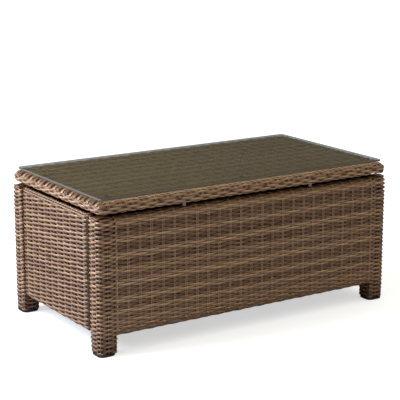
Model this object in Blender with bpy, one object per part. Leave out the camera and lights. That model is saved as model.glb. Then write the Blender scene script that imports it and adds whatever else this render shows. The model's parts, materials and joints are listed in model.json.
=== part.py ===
"""Wicker coffee table: two long woven leg units, two woven end panels, a bolted woven lid, a glass top.

Metres, +Z up. The origin is on the ground under the middle of the table. X runs along the table,
Y across it, and the front is at -Y. Pieces that touch keep a gap of GAP to each other.
"""

from math import cos, pi, sin

import bmesh
import bpy
from mathutils import Matrix

# Overall sizes
BASE_LENGTH = 1.044
BASE_DEPTH = 0.548
BASE_TOP = 0.404
LONG_BOTTOM = 0.056
END_BOTTOM = 0.056
LID_LENGTH = 1.034
LID_DEPTH = 0.551
LID_BOTTOM = 0.4155
LID_TOP = 0.4475
GLASS_LENGTH = 1.010
GLASS_DEPTH = 0.526
GLASS_THICKNESS = 0.006
GAP = 0.0003

# Legs: a square tube, a woven wrap round it and a plastic foot cap
LEG_WIDTH = 0.0585
LEG_DEPTH = 0.059
LEG_TUBE_WIDTH = 0.045
LEG_TUBE_DEPTH = 0.045
LEG_TUBE_WALL = 0.0015
LEG_TUBE_CORNER = 0.006
LEG_TUBE_TOP = 0.395
LEG_OUTER_CORNER = 0.017
LEG_CORNER = 0.011
LEG_SEAM_CORNER = 0.0025
LEAST_CORNER = 0.002
WRAP_ROOM = 0.0005
WRAP_BOTTOM = 0.0082
FOOT_HEIGHT = 0.007
FOOT_INSET = 0.0015
FOOT_CORNER = 0.016
FOOT_CHAMFER = 0.0015
PLUG_LENGTH = 0.018
PLUG_TAPER = 0.001

# Round frame tubes and the woven skin that is rolled over them
SKIN = 0.005
ROLL_ROOM = 0.0004
TOP_RAIL_RADIUS = 0.014
THIN_TUBE_RADIUS = 0.008
TUBE_WALL = 0.0015
ROLL_TAIL = 0.010
END_RECESS = 0.0005
END_TUBE_RADIUS = 0.014
END_GAP = 0.007
PANEL_GAP = 0.0005

# Lid
LID_CORNER = 0.018
LID_TOP_ROUND = 0.018
LID_BOTTOM_ROUND = 0.009
LID_LIP = 0.034
LID_TUBE_RADIUS = 0.011
LID_TUBE_INSET = 0.020
CROSSBAR = 0.020
CROSSBAR_CORNER = 0.003
CROSSBAR_X = 0.170

# Screws, spacers and bumpers
LID_BOLT_X = 0.228
BOLT_RADIUS = 0.003
HOLE_RADIUS = 0.0033
HEAD_RADIUS = 0.006
HEAD_HEIGHT = 0.004
HEAD_EDGE = 0.0008
SOCKET_RADIUS = 0.0023
SOCKET_DEPTH = 0.0022
END_BOLT_LENGTH = 0.058
END_BOLT_HEIGHTS = (0.110, 0.350)
HOLE_LEAD = 0.002
SPACER_RADIUS = 0.0055
BUMPER_RADIUS = 0.006
BUMPER_HEIGHT = 0.004
BUMPER_EDGE = 0.0006
BUMPER_INSET = 0.045

# Glass edges
GLASS_CORNER = 0.008
GLASS_ARRIS = 0.0007

# Facets
TUBE_FACETS = 16
CORNER_FACETS = 3
ROLL_FACETS = 4
BOLT_FACETS = 10

# Positions that follow from the sizes above, as distances from the middle of the table
TOP_ROLL = TOP_RAIL_RADIUS + ROLL_ROOM + SKIN
THIN_ROLL = THIN_TUBE_RADIUS + ROLL_ROOM + SKIN
LEG_X = (BASE_LENGTH - LEG_WIDTH) / 2
LEG_Y = (BASE_DEPTH - LEG_DEPTH) / 2
LEG_INNER_X = LEG_X - LEG_WIDTH / 2
RAIL_HALF = LEG_X - LEG_TUBE_WIDTH / 2 - GAP
PANEL_HALF = LEG_INNER_X - PANEL_GAP
TOP_RAIL_Y = BASE_DEPTH / 2 - TOP_ROLL
TOP_RAIL_Z = BASE_TOP - TOP_ROLL
LOW_RAIL_Y = BASE_DEPTH / 2 - THIN_ROLL
LOW_RAIL_Z = LONG_BOTTOM + THIN_ROLL
END_FACE_X = BASE_LENGTH / 2 - END_RECESS
END_ROLL = END_TUBE_RADIUS + ROLL_ROOM + SKIN
END_TUBE_X = END_FACE_X - END_ROLL
END_HALF_DEPTH = BASE_DEPTH / 2 - LEG_DEPTH - END_GAP
STILE_Y = END_HALF_DEPTH - END_ROLL
END_TOP_Z = BASE_TOP - END_ROLL
END_LOW_Z = END_BOTTOM + END_ROLL
LID_TUBE_X = LID_LENGTH / 2 - LID_TUBE_INSET
LID_TUBE_Y = LID_DEPTH / 2 - LID_TUBE_INSET
LID_TUBE_Z = (LID_BOTTOM + LID_TOP) / 2
LID_CHANNEL = LID_TUBE_RADIUS + ROLL_ROOM
LID_BOLT_Y = (LID_TUBE_Y + TOP_RAIL_Y) / 2
LID_BOLT_SEAT = TOP_RAIL_Z - TOP_RAIL_RADIUS - GAP
END_BOLT_SEAT = STILE_Y - END_TUBE_RADIUS - GAP
GLASS_BOTTOM = LID_TOP + BUMPER_HEIGHT + 2 * GAP

SIDES = (("front", -1), ("back", 1))
ENDS = (("left", -1), ("right", 1))

for old in list(bpy.data.objects):
    bpy.data.objects.remove(old, do_unlink=True)

PARTS = bpy.data.collections.new("wicker_coffee_table")
CUTTERS = bpy.data.collections.new("cutters")
bpy.context.scene.collection.children.link(PARTS)
bpy.context.scene.collection.children.link(CUTTERS)


def material(name, colour, roughness, metallic=0.0, transmission=0.0):
    """A plain Principled material."""
    made = bpy.data.materials.new(name)
    made.use_nodes = True
    shader = made.node_tree.nodes["Principled BSDF"]
    shader.inputs["Base Color"].default_value = (*colour, 1.0)
    shader.inputs["Roughness"].default_value = roughness
    shader.inputs["Metallic"].default_value = metallic
    shader.inputs["Transmission Weight"].default_value = transmission
    return made


WICKER = material("woven_resin", (0.125, 0.074, 0.040), 0.55)
COATED = material("coated_aluminium", (0.060, 0.036, 0.022), 0.45, metallic=0.3)
STEEL = material("zinc_steel", (0.55, 0.55, 0.56), 0.35, metallic=0.9)
NYLON = material("pale_nylon", (0.62, 0.62, 0.60), 0.5)
BLACK = material("black_plastic", (0.012, 0.012, 0.013), 0.5)
CLEAR = material("clear_vinyl", (0.80, 0.82, 0.82), 0.3, transmission=0.8)
GLASS = material("tempered_glass", (0.62, 0.72, 0.68), 0.05, transmission=0.9)


# Placements


def upright(x, y, z):
    """Placement of a part that stays along Z."""
    return Matrix.Translation((x, y, z))


def along_x(x, y, z):
    """Placement that lays a part made along Z along +X; its local X then points down."""
    return Matrix(((0, 0, 1, x), (0, 1, 0, y), (-1, 0, 0, z), (0, 0, 0, 1)))


def along_y(x, y, z, side=1):
    """Placement that lays a part made along Z along +Y, or along -Y where side is -1."""
    return Matrix(((1, 0, 0, x), (0, 0, side, y), (0, -side, 0, z), (0, 0, 0, 1)))


# Outlines


def rounded_outline(low, high, radii):
    """Points of a rectangle from low to high with rounded corners, anticlockwise from the low corner."""
    corners = ((low[0], low[1]), (high[0], low[1]), (high[0], high[1]), (low[0], high[1]))
    inward = ((1, 1), (-1, 1), (-1, -1), (1, -1))
    points = []
    for turn, (corner, way, radius) in enumerate(zip(corners, inward, radii)):
        centre_x = corner[0] + way[0] * radius
        centre_y = corner[1] + way[1] * radius
        for step in range(CORNER_FACETS + 1):
            angle = (turn + 2 + step / CORNER_FACETS) * pi / 2
            points.append((centre_x + radius * cos(angle), centre_y + radius * sin(angle)))
    return points


def inset_outline(half_x, half_y, corner, inset):
    """A centred rounded rectangle shrunk by inset on every side."""
    radius = max(corner - inset, LEAST_CORNER)
    far = (half_x - inset, half_y - inset)
    return rounded_outline((-far[0], -far[1]), far, (radius,) * 4)


def circle(radius, facets=TUBE_FACETS):
    """A circle's points, anticlockwise, with flats facing the axes."""
    turns = [2 * pi * (step + 0.5) / facets for step in range(facets)]
    return [(radius * cos(turn), radius * sin(turn)) for turn in turns]


def quarter_arc():
    """(inset, rise) of a unit quarter round, from its upright side to its level top."""
    angles = [step * pi / 2 / ROLL_FACETS for step in range(ROLL_FACETS + 1)]
    return [(1 - cos(angle), sin(angle)) for angle in angles]


def roll(centre, radius, start, end):
    """Points (y, z) round a front rail, in quarter turns upward from its front."""
    steps = ROLL_FACETS * abs(end - start)
    angles = [(start + (end - start) * step / steps) * pi / 2 for step in range(steps + 1)]
    return [(centre[0] - radius * cos(angle), centre[1] + radius * sin(angle)) for angle in angles]


# Meshes


def finished(bm):
    """The mesh of a bmesh, with its faces pointing out."""
    bmesh.ops.recalc_face_normals(bm, faces=bm.faces)
    mesh = bpy.data.meshes.new("shape")
    bm.to_mesh(mesh)
    bm.free()
    return mesh


def extruded(bm, faces, length):
    """The closed body that flat faces at z = 0 make when they are drawn up to z = length."""
    grown = bmesh.ops.extrude_face_region(bm, geom=faces, use_keep_orig=True)["geom"]
    moved = [part for part in grown if isinstance(part, bmesh.types.BMVert)]
    bmesh.ops.translate(bm, verts=moved, vec=(0.0, 0.0, length))
    return finished(bm)


def prism(outline, length):
    """A flat outline extruded along Z."""
    bm = bmesh.new()
    face = bm.faces.new([bm.verts.new((x, y, 0.0)) for x, y in outline])
    return extruded(bm, [face], length)


def hollow_prism(outer, inner, length):
    """A tube open at both ends, from an outer and an inner outline."""
    bm = bmesh.new()
    edges = []
    for outline in (outer, inner):
        verts = [bm.verts.new((x, y, 0.0)) for x, y in outline]
        edges += [bm.edges.new((verts[k - 1], verts[k])) for k in range(len(verts))]
    ring = bmesh.ops.bridge_loops(bm, edges=edges)["faces"]
    return extruded(bm, ring, length)


def round_tube(radius, length):
    """A round frame tube."""
    return hollow_prism(circle(radius), circle(radius - TUBE_WALL), length)


def loft(rings):
    """A closed body through rings of (x, y, z) points, capped at both ends."""
    bm = bmesh.new()
    loops = [[bm.verts.new(point) for point in ring] for ring in rings]
    for lower, upper in zip(loops, loops[1:]):
        for k in range(len(lower)):
            bm.faces.new((lower[k - 1], lower[k], upper[k], upper[k - 1]))
    bm.faces.new(loops[0])
    bm.faces.new(loops[-1])
    return finished(bm)


def turned(profile):
    """A solid turned about Z from (radius, height) points that start and end on the axis."""
    bm = bmesh.new()
    verts = [bm.verts.new((radius, 0.0, height)) for radius, height in profile]
    edges = [bm.edges.new(pair) for pair in zip(verts, verts[1:])]
    bmesh.ops.spin(bm, geom=verts + edges, axis=(0, 0, 1), cent=(0, 0, 0), angle=2 * pi, steps=BOLT_FACETS)
    bmesh.ops.remove_doubles(bm, verts=bm.verts, dist=1e-5)
    return finished(bm)


def at_height(outline, height):
    """A flat outline as a ring at one height."""
    return [(x, y, height) for x, y in outline]


# Objects


def add(name, mesh, look, place):
    """One named object from a mesh, smooth but for its sharp edges."""
    mesh.name = name
    if not mesh.materials:
        mesh.materials.append(look)
    mesh.shade_smooth()
    mesh.set_sharp_from_angle(angle=pi / 5)
    made = bpy.data.objects.new(name, mesh)
    made.matrix_world = place
    PARTS.objects.link(made)
    return made


def add_cutter(name, mesh, place):
    """A hidden guide that other parts are cut with."""
    made = bpy.data.objects.new("cutter_" + name, mesh)
    made.matrix_world = place
    made.hide_render = True
    made.display_type = "WIRE"
    CUTTERS.objects.link(made)
    return made


def cut(part, cutter):
    """Takes a cutter's shape out of a part."""
    hole = part.modifiers.new(cutter.name, "BOOLEAN")
    hole.operation = "DIFFERENCE"
    hole.solver = "EXACT"
    hole.object = cutter


def mirrored(mesh, end, side):
    """A mesh made for the front left quarter, mirrored to the quarter that end and side name."""
    mesh.transform(Matrix.Diagonal((-end, -side, 1, 1)))
    if end * side < 0:
        mesh.flip_normals()
    return mesh


# Legs


def leg_wrap_mesh():
    """The woven wrap of the front left leg about its own axis: a deep cup, open below.

    Its top is rounded over on three sides; the side that meets the long panel stays straight.
    """
    half_x = LEG_WIDTH / 2
    half_y = LEG_DEPTH / 2
    hollow = inset_outline(LEG_TUBE_WIDTH / 2 + WRAP_ROOM, LEG_TUBE_DEPTH / 2 + WRAP_ROOM, LEG_TUBE_CORNER, 0)
    rings = [at_height(hollow, LEG_TUBE_TOP + WRAP_ROOM), at_height(hollow, WRAP_BOTTOM)]
    levels = [(0.0, WRAP_BOTTOM)]
    levels += [(TOP_ROLL * inset, BASE_TOP - TOP_ROLL + TOP_ROLL * rise) for inset, rise in quarter_arc()]
    for inset, height in levels:
        outermost = max(LEG_OUTER_CORNER - inset, LEAST_CORNER)
        corner = max(LEG_CORNER - inset, LEAST_CORNER)
        low = (inset - half_x, inset - half_y)
        high = (half_x, half_y - inset)
        rings.append(at_height(rounded_outline(low, high, (outermost, LEG_SEAM_CORNER, corner, corner)), height))
    return loft(rings)


def build_leg(side_name, side, end_name, end):
    """A square leg tube, its woven wrap with openings for the two rails, and its foot cap."""
    x = end * LEG_X
    y = side * LEG_Y
    name = f"{side_name}_{end_name}_leg"
    outer = inset_outline(LEG_TUBE_WIDTH / 2, LEG_TUBE_DEPTH / 2, LEG_TUBE_CORNER, 0)
    inner = inset_outline(LEG_TUBE_WIDTH / 2, LEG_TUBE_DEPTH / 2, LEG_TUBE_CORNER, LEG_TUBE_WALL)
    tube_bottom = FOOT_HEIGHT + GAP
    tube = add(name, hollow_prism(outer, inner, LEG_TUBE_TOP - tube_bottom), COATED, upright(x, y, tube_bottom))
    wrap = add(name + "_weave", mirrored(leg_wrap_mesh(), end, side), WICKER, upright(x, y, 0))
    wall = LEG_WIDTH - LEG_TUBE_WIDTH
    middle = end * (LEG_INNER_X + wall / 4)
    rails = (("top", TOP_RAIL_RADIUS, TOP_RAIL_Y, TOP_RAIL_Z), ("low", THIN_TUBE_RADIUS, LOW_RAIL_Y, LOW_RAIL_Z))
    for rail, radius, rail_y, rail_z in rails:
        window = prism(circle(radius + WRAP_ROOM), wall)
        place = along_x(middle - wall / 2, side * rail_y, rail_z)
        cut(wrap, add_cutter(f"{name}_{rail}_rail", window, place))
    build_foot(f"foot_{side_name}_{end_name}", x, y)
    return tube, wrap


def build_foot(name, x, y):
    """A foot cap: a chamfered pad under the leg and a tapered plug up inside its tube."""
    pad_x = LEG_WIDTH / 2 - FOOT_INSET
    pad_y = LEG_DEPTH / 2 - FOOT_INSET
    plug_x = LEG_TUBE_WIDTH / 2 - LEG_TUBE_WALL - GAP
    plug_y = LEG_TUBE_DEPTH / 2 - LEG_TUBE_WALL - GAP
    rings = [
        at_height(inset_outline(pad_x, pad_y, FOOT_CORNER, FOOT_CHAMFER), 0),
        at_height(inset_outline(pad_x, pad_y, FOOT_CORNER, 0), FOOT_CHAMFER),
        at_height(inset_outline(pad_x, pad_y, FOOT_CORNER, 0), FOOT_HEIGHT),
        at_height(inset_outline(plug_x, plug_y, LEG_TUBE_CORNER, 0), FOOT_HEIGHT),
        at_height(inset_outline(plug_x, plug_y, LEG_TUBE_CORNER, PLUG_TAPER), FOOT_HEIGHT + PLUG_LENGTH),
    ]
    add(name, loft(rings), BLACK, upright(x, y, 0))


# Long sides


def long_skin_outline():
    """Section of the front skin: one even band round the low rail, up the face and over the top rail."""
    low = (-LOW_RAIL_Y, LOW_RAIL_Z)
    top = (-TOP_RAIL_Y, TOP_RAIL_Z)
    tail = TOP_RAIL_Z - ROLL_TAIL
    outer = roll(low, THIN_ROLL, -2, 0) + roll(top, TOP_ROLL, 0, 2)
    inner = roll(top, TOP_ROLL - SKIN, 2, 0) + roll(low, THIN_ROLL - SKIN, 0, -2)
    ends = [(TOP_ROLL - TOP_RAIL_Y, tail), (TOP_ROLL - SKIN - TOP_RAIL_Y, tail)]
    return [(-z, y) for y, z in outer + ends + inner]


def build_long_side(side_name, side):
    """Top and bottom rails of a long unit, and the woven skin rolled over both."""
    length = 2 * RAIL_HALF
    top_place = along_x(-RAIL_HALF, side * TOP_RAIL_Y, TOP_RAIL_Z)
    low_place = along_x(-RAIL_HALF, side * LOW_RAIL_Y, LOW_RAIL_Z)
    top = add(side_name + "_top_rail", round_tube(TOP_RAIL_RADIUS, length), COATED, top_place)
    add(side_name + "_bottom_rail", round_tube(THIN_TUBE_RADIUS, length), COATED, low_place)
    outline = [(x, -side * y) for x, y in long_skin_outline()]
    skin = add(side_name + "_weave", prism(outline, 2 * PANEL_HALF), WICKER, along_x(-PANEL_HALF, 0, 0))
    return top, skin


# End panels


def end_skin_mesh(end):
    """The woven skin of an end panel: a shallow tray with rounded edges, open towards the inside."""
    middle = (BASE_TOP + END_BOTTOM) / 2
    half_height = (BASE_TOP - END_BOTTOM) / 2
    inner_radius = END_ROLL - SKIN
    levels = [(SKIN + inner_radius * inset, END_TUBE_X + inner_radius * rise) for inset, rise in quarter_arc()]
    levels.reverse()
    levels += [(SKIN, END_TUBE_X - END_ROLL), (0.0, END_TUBE_X - END_ROLL)]
    levels += [(END_ROLL * inset, END_TUBE_X + END_ROLL * rise) for inset, rise in quarter_arc()]
    rings = []
    for inset, out in levels:
        outline = inset_outline(END_HALF_DEPTH, half_height, END_ROLL, inset)
        rings.append([(end * out, y, middle + z) for y, z in outline])
    return loft(rings)


def build_end(end_name, end):
    """The round-tube frame of an end panel and its woven skin."""
    x = end * END_TUBE_X
    name = end_name + "_end"
    for rail_name, height in (("top", END_TOP_Z), ("bottom", END_LOW_Z)):
        rail_mesh = round_tube(END_TUBE_RADIUS, 2 * STILE_Y)
        add(f"{name}_{rail_name}_rail", rail_mesh, COATED, along_y(x, -STILE_Y, height))
    stile_bottom = END_LOW_Z + END_TUBE_RADIUS + GAP
    stile_length = END_TOP_Z - END_TUBE_RADIUS - GAP - stile_bottom
    stiles = {}
    for side_name, side in SIDES:
        stile_mesh = round_tube(END_TUBE_RADIUS, stile_length)
        place = upright(x, side * STILE_Y, stile_bottom)
        stiles[side_name] = add(f"{name}_{side_name}_stile", stile_mesh, COATED, place)
    skin = add(name + "_weave", end_skin_mesh(end), WICKER, upright(0, 0, 0))
    return stiles, skin


# Lid and top


def lid_skin_mesh():
    """The woven deck and its edge, rolled round the lid's tubes and turned in below them."""
    bottom = LID_BOTTOM
    levels = [
        (LID_LIP, LID_TUBE_Z + LID_CHANNEL),
        (LID_TUBE_INSET - LID_CHANNEL, LID_TUBE_Z + LID_CHANNEL),
        (LID_TUBE_INSET - LID_CHANNEL, LID_TUBE_Z - LID_CHANNEL),
        (LID_LIP, LID_TUBE_Z - LID_CHANNEL),
        (LID_LIP, bottom),
    ]
    lower = [(LID_BOTTOM_ROUND * inset, bottom + LID_BOTTOM_ROUND * (1 - rise)) for inset, rise in quarter_arc()]
    levels += reversed(lower)
    upper_centre = LID_TOP - LID_TOP_ROUND
    levels += [(LID_TOP_ROUND * inset, upper_centre + LID_TOP_ROUND * rise) for inset, rise in quarter_arc()]
    rings = []
    for inset, height in levels:
        rings.append(at_height(inset_outline(LID_LENGTH / 2, LID_DEPTH / 2, LID_CORNER, inset), height))
    return loft(rings)


def build_lid():
    """The lid's tube frame, two crossbars and the woven skin."""
    long_half = LID_TUBE_X
    short_half = LID_TUBE_Y - LID_TUBE_RADIUS - GAP
    tubes = {}
    for side_name, side in SIDES:
        place = along_x(-long_half, side * LID_TUBE_Y, LID_TUBE_Z)
        tube_mesh = round_tube(LID_TUBE_RADIUS, 2 * long_half)
        tubes[side_name] = add(f"lid_{side_name}_tube", tube_mesh, COATED, place)
    for end_name, end in ENDS:
        place = along_y(end * LID_TUBE_X, -short_half, LID_TUBE_Z)
        add(f"lid_{end_name}_tube", round_tube(LID_TUBE_RADIUS, 2 * short_half), COATED, place)
        half = CROSSBAR / 2
        outer = inset_outline(half, half, CROSSBAR_CORNER, 0)
        inner = inset_outline(half, half, CROSSBAR_CORNER, TUBE_WALL)
        bar_place = along_y(end * CROSSBAR_X, -short_half, LID_TUBE_Z + LID_TUBE_RADIUS - half)
        add(f"lid_{end_name}_crossbar", hollow_prism(outer, inner, 2 * short_half), COATED, bar_place)
    return tubes, add("lid_weave", lid_skin_mesh(), WICKER, upright(0, 0, 0))


def build_glass():
    """The loose glass top, with arrised edges, and the clear bumpers that it rests on."""
    levels = (
        (GLASS_ARRIS, 0),
        (0, GLASS_ARRIS),
        (0, GLASS_THICKNESS - GLASS_ARRIS),
        (GLASS_ARRIS, GLASS_THICKNESS),
    )
    rings = []
    for inset, height in levels:
        rings.append(at_height(inset_outline(GLASS_LENGTH / 2, GLASS_DEPTH / 2, GLASS_CORNER, inset), height))
    add("glass_top", loft(rings), GLASS, upright(0, 0, GLASS_BOTTOM))
    profile = (
        (0, BUMPER_HEIGHT),
        (BUMPER_RADIUS - BUMPER_EDGE, BUMPER_HEIGHT),
        (BUMPER_RADIUS, BUMPER_HEIGHT - BUMPER_EDGE),
        (BUMPER_RADIUS, 0),
        (0, 0),
    )
    mesh = turned(profile)
    reach = GLASS_LENGTH / 2 - BUMPER_INSET
    for side_name, side in SIDES:
        y = side * (GLASS_DEPTH / 2 - BUMPER_INSET)
        for place_name, x in (("left", -reach), ("middle", 0), ("right", reach)):
            add(f"glass_bumper_{side_name}_{place_name}", mesh, CLEAR, upright(x, y, LID_TOP + GAP))


# Fasteners


def bolt_mesh(length):
    """A socket screw about Z: its head ends at z = 0 and its shank runs up to z = length."""
    return turned(
        (
            (0, length),
            (BOLT_RADIUS - HEAD_EDGE, length),
            (BOLT_RADIUS, length - HEAD_EDGE),
            (BOLT_RADIUS, 0),
            (HEAD_RADIUS, 0),
            (HEAD_RADIUS, HEAD_EDGE - HEAD_HEIGHT),
            (HEAD_RADIUS - HEAD_EDGE, -HEAD_HEIGHT),
            (SOCKET_RADIUS, -HEAD_HEIGHT),
            (SOCKET_RADIUS, SOCKET_DEPTH - HEAD_HEIGHT),
            (0, SOCKET_DEPTH - HEAD_HEIGHT),
        )
    )


def build_lid_bolts(rails, long_skins, lid_tubes, lid_skin):
    """Four screws from below, each through a top rail and a spacer into the lid, and their holes."""
    length = LID_TUBE_Z - LID_BOLT_SEAT
    spacer_height = LID_BOTTOM - BASE_TOP - 2 * GAP
    screw = bolt_mesh(length)
    hole = prism(circle(HOLE_RADIUS, BOLT_FACETS), length + 2 * HOLE_LEAD)
    spacer = hollow_prism(circle(SPACER_RADIUS), circle(HOLE_RADIUS), spacer_height)
    for side_name, side in SIDES:
        for end_name, end in ENDS:
            name = f"{side_name}_{end_name}"
            x = end * LID_BOLT_X
            y = side * LID_BOLT_Y
            add("lid_bolt_" + name, screw, STEEL, upright(x, y, LID_BOLT_SEAT))
            add("lid_spacer_" + name, spacer, NYLON, upright(x, y, BASE_TOP + GAP))
            cutter = add_cutter("lid_" + name, hole, upright(x, y, LID_BOLT_SEAT - HOLE_LEAD))
            for part in (rails[side_name], long_skins[side_name], lid_tubes[side_name], lid_skin):
                cut(part, cutter)


def build_end_bolts(legs, stiles, end_skins):
    """Eight screws, each from inside an end panel through its stile into a leg, and their holes."""
    screw = bolt_mesh(END_BOLT_LENGTH)
    hole = prism(circle(HOLE_RADIUS, BOLT_FACETS), END_BOLT_LENGTH + 2 * HOLE_LEAD)
    for side_name, side in SIDES:
        for end_name, end in ENDS:
            for level, height in zip(("low", "high"), END_BOLT_HEIGHTS):
                name = f"{side_name}_{end_name}_{level}"
                x = end * END_TUBE_X
                place = along_y(x, side * END_BOLT_SEAT, height, side)
                add("end_bolt_" + name, screw, STEEL, place)
                start = side * (END_BOLT_SEAT - HOLE_LEAD)
                cutter = add_cutter("end_" + name, hole, along_y(x, start, height, side))
                for part in (*legs[side_name, end_name], stiles[end_name][side_name], end_skins[end_name]):
                    cut(part, cutter)


def build_table():
    """Builds every piece, then the fasteners that join them."""
    rails = {}
    long_skins = {}
    stiles = {}
    end_skins = {}
    legs = {}
    for side_name, side in SIDES:
        rails[side_name], long_skins[side_name] = build_long_side(side_name, side)
        for end_name, end in ENDS:
            legs[side_name, end_name] = build_leg(side_name, side, end_name, end)
    for end_name, end in ENDS:
        stiles[end_name], end_skins[end_name] = build_end(end_name, end)
    lid_tubes, lid_skin = build_lid()
    build_glass()
    build_lid_bolts(rails, long_skins, lid_tubes, lid_skin)
    build_end_bolts(legs, stiles, end_skins)


build_table()
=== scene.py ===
"""Looks of the wicker coffee table: woven strands, glass, plastic and metal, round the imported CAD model.

Metres, +Z up, in the frame of the CAD model. Every position comes from the CAD boxes, and every woven
surface is made of closed strands that run over and under their stakes.
"""

import json
import math

import bpy
import numpy as np
from mathutils import Matrix, Vector


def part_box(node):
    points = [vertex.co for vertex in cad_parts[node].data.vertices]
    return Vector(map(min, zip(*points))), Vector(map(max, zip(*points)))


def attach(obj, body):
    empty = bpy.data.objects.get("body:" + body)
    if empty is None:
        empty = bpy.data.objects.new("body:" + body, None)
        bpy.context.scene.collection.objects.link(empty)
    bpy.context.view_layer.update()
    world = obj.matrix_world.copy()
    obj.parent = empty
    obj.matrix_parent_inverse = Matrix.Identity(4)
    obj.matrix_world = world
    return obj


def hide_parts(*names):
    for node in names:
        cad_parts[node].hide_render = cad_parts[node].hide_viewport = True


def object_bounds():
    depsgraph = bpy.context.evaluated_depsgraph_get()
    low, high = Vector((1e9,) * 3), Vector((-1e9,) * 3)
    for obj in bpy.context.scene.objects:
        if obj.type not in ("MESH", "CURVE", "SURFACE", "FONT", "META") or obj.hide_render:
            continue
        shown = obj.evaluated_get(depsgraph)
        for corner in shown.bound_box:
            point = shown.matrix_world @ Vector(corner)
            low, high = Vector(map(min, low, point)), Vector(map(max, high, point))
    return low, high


# Camera: direction in degrees, distance, lens and sensor, and the point it looks at, which lies a little
# to the side of the table's middle line and above it
CAMERA_AZIMUTH = -33.1
CAMERA_ELEVATION = 13.41
CAMERA_DISTANCE = 4.1976
CAMERA_LENS = 119.52
CAMERA_SENSOR = 36.0
AIM_HEIGHT = 0.202
AIM_RIGHT = -0.0055
AIM_UP = 0.1334

# Sky: strength near the horizon and overhead, and the heights in degrees between which it grows
SKY_LOW = 0.06
SKY_HIGH = 1.20
SKY_START = 18.0
SKY_FULL = 46.0
SKY_COLOUR = (1.0, 0.90, 0.73)

# Lamps: direction in degrees, distance and size in metres, power in watts, and the height they look at
KEY_AZIMUTH = -110
KEY_ELEVATION = 34
KEY_DISTANCE = 3.0
KEY_SIZE = 1.8
KEY_POWER = 136
KEY_COLOUR = (0.95, 0.98, 1.08)
FILL_AZIMUTH = 15
FILL_ELEVATION = 35
FILL_DISTANCE = 3.5
FILL_SIZE = 2.5
FILL_POWER = 8
LAMP_AIM = 0.2

# Floor, and the extra light level at which the camera sees the floor and the backdrop
FLOOR_REACH = 40.0
FLOOR_TONE = (0.60, 0.64, 0.71)
FLOOR_ROUGHNESS = 0.9
FLOOR_GLOW = 0.58
BACKDROP_GLOW = 1.5

# Strands, and how far the rows stand out from the CAD surface and stray along it
ROW_PITCH = 0.00633
STRAND_WIDTH = 0.0061
STRAND_THICKNESS = 0.0025
PROUD = 0.0011
WANDER = 0.00022

# Stakes, the distance between the two of a pair, and the distance between their rings of points
STAKE_WIDTH = 0.0030
STAKE_GAP = 0.0050
STAKE_STEP = 0.006

# Dark flat rows behind the others, painted shade that stands for the shaded inside seen through the gaps:
# neighbours differ in depth by the step, and their ends lie further round the edge of a panel by the reach
BACKING_WIDTH = 0.0080
BACKING_THICKNESS = 0.0008
BACKING_STEP = 0.0003
BACKING_REACH = 0.007

# Distance between stakes, and how far the rows swing in and out round them
LONG_STAKE_PITCH = 0.0386
END_STAKE_PITCH = 0.0404
BORDER_STAKE_PITCH = 0.0300
LEG_STAKES = 8
LONG_WAVE = 0.0019
END_WAVE = 0.0033
LEG_WAVE = 0.0024
DECK_WAVE = 0.0019
BORDER_WAVE = 0.0020

# Swing of a row: how much flatter it is than a sine, how uneven from row to row, and its least and most
SWING_FLATNESS = 0.25
SWING_SPREAD = 0.10
SWING_LIMITS = (-1.4, 1.05)

# Small swelling of a row where it lies on a stake, and a painted highlight: how much lighter the resin is
# there
RIDGE_HEIGHT = 0.0005
RIDGE_REACH = 0.0022
RIDGE_HIGHLIGHT = 0.30

# The lowest and highest rows swing less and are darker: over what height, how sharply, and by how much
CALM_REACH = 0.028
CALM_PEAK = 1.5
CALM_SHARE = 0.65
CALM_TONE = 0.30

# Places along one stake pitch where a row has a ring of points
FINE_STEPS = (0.0, 0.045, 0.09, 0.16, 0.30, 0.5, 0.70, 0.84, 0.91, 0.955)
COARSE_STEPS = (0.0, 0.12, 0.28, 0.5, 0.72, 0.88)

# Cross-sections of strands: (across, out) as shares of their width and thickness
HALF_ROUND = (
    (-0.50, -0.10), (-0.38, 0.28), (0.0, 0.50), (0.38, 0.28),
    (0.50, -0.10), (0.34, -0.45), (-0.34, -0.45),
)
FLAT = ((-0.5, -0.5), (-0.5, 0.5), (0.5, 0.5), (0.5, -0.5))
ROUND = ((-0.5, 0.0), (-0.25, 0.43), (0.25, 0.43), (0.5, 0.0), (0.25, -0.43), (-0.25, -0.43))

# Tones: 0 is dark brown and 1 is light tan
# Painted shade: the dark flat rows behind the others
BACKING_SHADE = -0.6
LONG_STAKE_TONE = 0.95
END_STAKE_TONE = 0.0
BORDER_TONE = 0.76

# Light bands of the sides, ends and legs: their heights and half their width. The peak is above 1, which
# makes the middle of a band even.
LIGHT_BANDS = (0.387, 0.337, 0.291, 0.247, 0.209, 0.163, 0.126, 0.098, 0.074)
BAND_HALF = 0.011
BAND_PEAK = 1.25
END_BAND_BASE = 0.32
END_BAND_SHARE = 0.40
LEG_BAND_BASE = 0.25
LEG_BAND_SHARE = 0.60

# Bands of the deck: their tone, how far it varies, and the distance from band to band
DECK_TONE = 0.56
DECK_BAND = 0.35
DECK_BAND_PITCH = 0.0506

# Painted shade: how much darker a row is where it dips behind a stake, into the recess between its
# neighbours
LONG_DIP_SHADE = 0.3
END_DIP_SHADE = 1.3
LEG_DIP_SHADE = 0.9
DECK_DIP_SHADE = 0.9
BORDER_DIP_SHADE = 1.0

# How much darker the rows are at their two ends, and over what length. On the end panels this is painted
# shade where the rows turn into the grooves beside the legs.
END_GROOVE_SHADE = 1.3
DECK_EDGE_TONE = 0.5
EDGE_REACH = 0.034

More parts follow.
